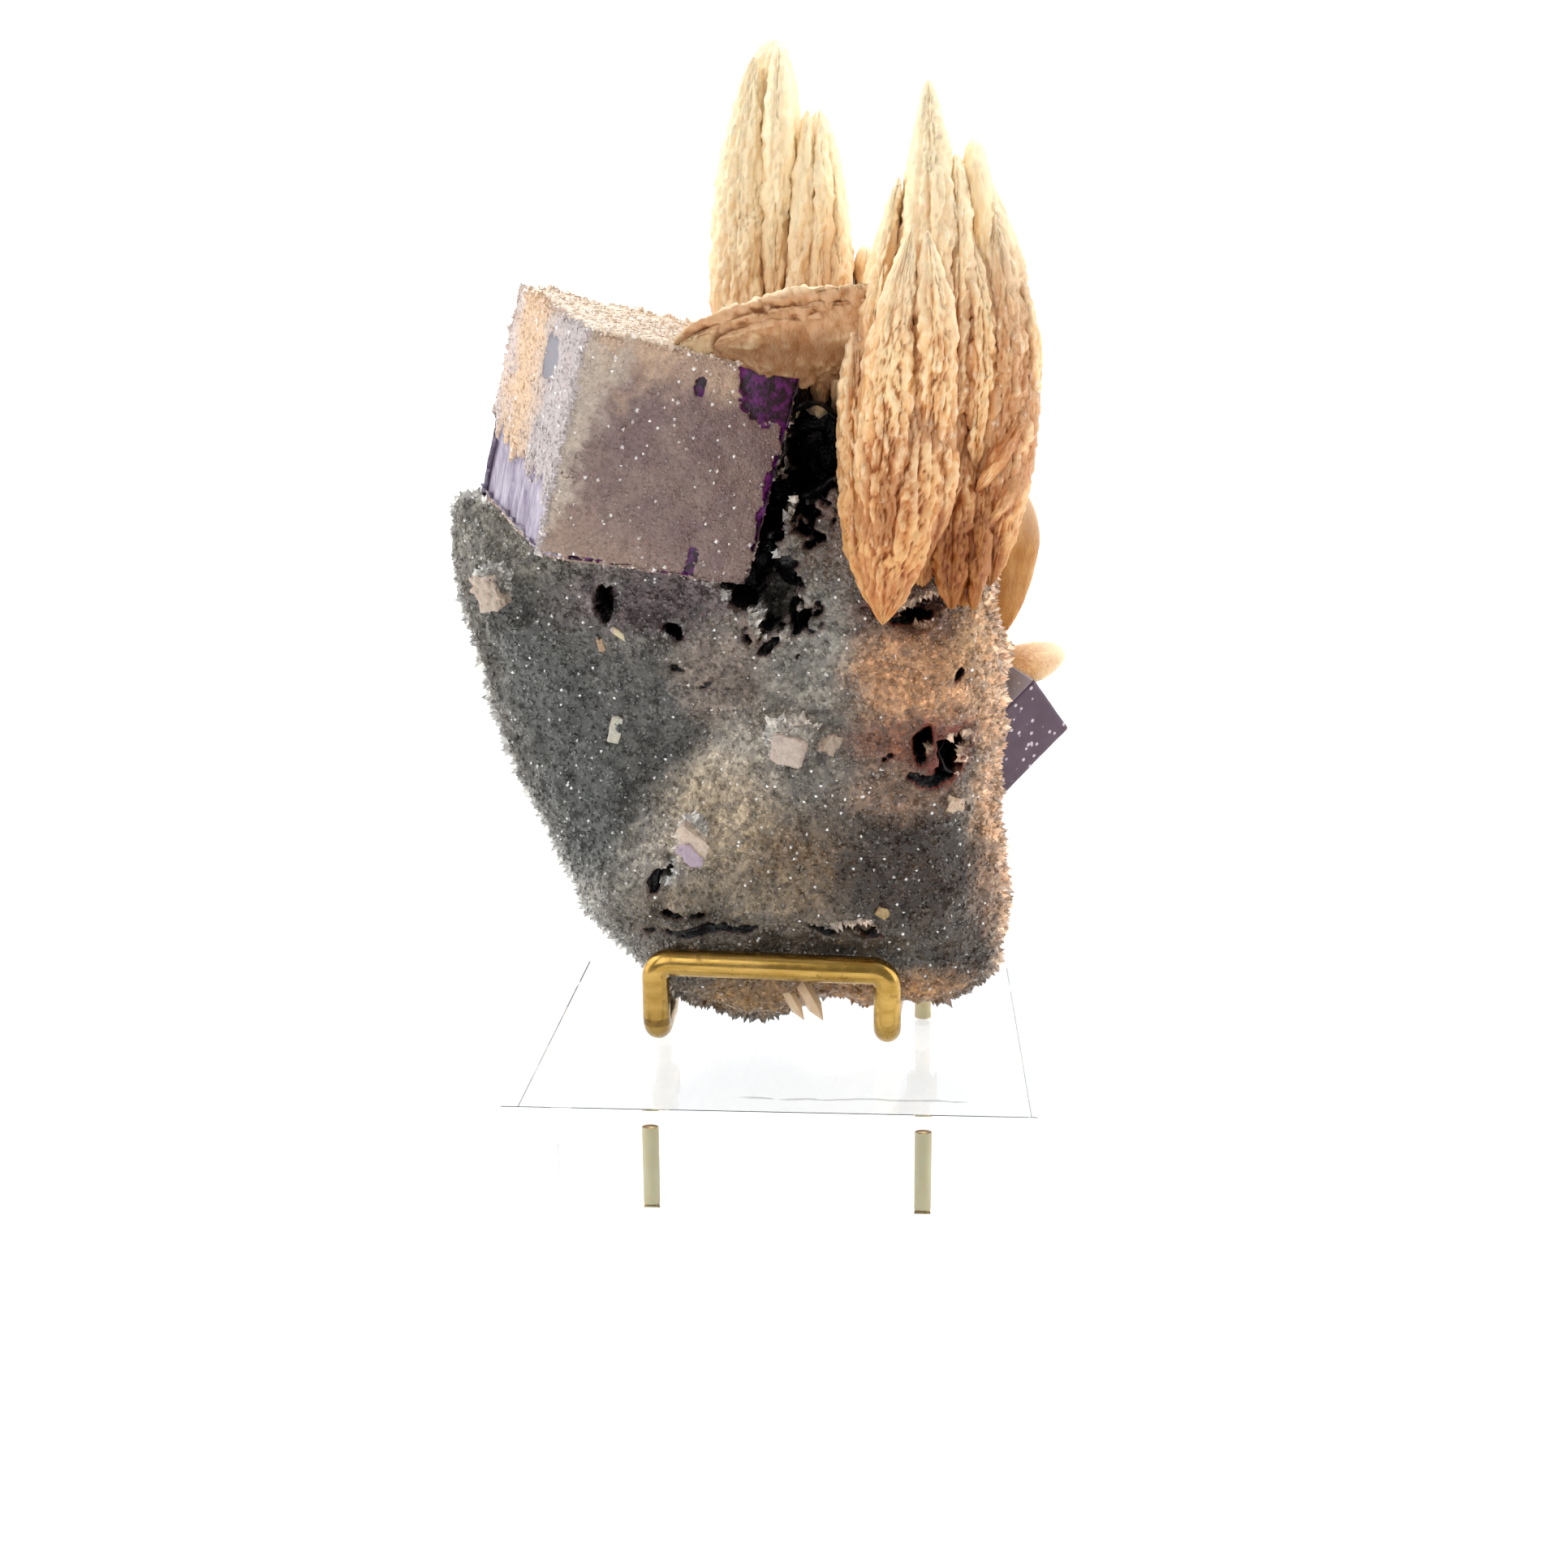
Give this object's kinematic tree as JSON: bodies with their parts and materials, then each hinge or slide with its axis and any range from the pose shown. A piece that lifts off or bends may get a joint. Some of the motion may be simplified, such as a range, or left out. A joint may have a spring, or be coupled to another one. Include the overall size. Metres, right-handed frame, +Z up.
{
  "type": "mineral specimen on stand",
  "caption": "Baryte blades and fluorite cubes on a quartz coated matrix, held upright by a bent brass cradle and back rest on a clear acrylic block.",
  "frame": {"origin": "centre of the acrylic block's lower face", "axes": "+Z up, +Y away from the viewer towards the back rest, +X to the viewer's right"},
  "size_m": [0.0909, 0.06, 0.1606],
  "materials": {
    "acrylic": "clear polished acrylic",
    "brass": "lightly tarnished, brushed",
    "quartz_druse": "sparkling fine quartz crust",
    "fluorite": "glassy purple under a thin quartz crust",
    "baryte": "rough ridged, slightly translucent at the tips"
  },
  "bodies": {
    "root": {"acrylic_base": "acrylic", "brass_back_rest": "brass", "brass_cradle": "brass", "quartz_matrix": "quartz_druse", "fluorite_cube_large": "fluorite", "fluorite_cube_small": "fluorite", "baryte_cluster_right": "baryte", "baryte_cluster_back": "baryte", "baryte_blade_honey": "baryte", "baryte_blade_small": "baryte"}
  },
  "joints": []
}
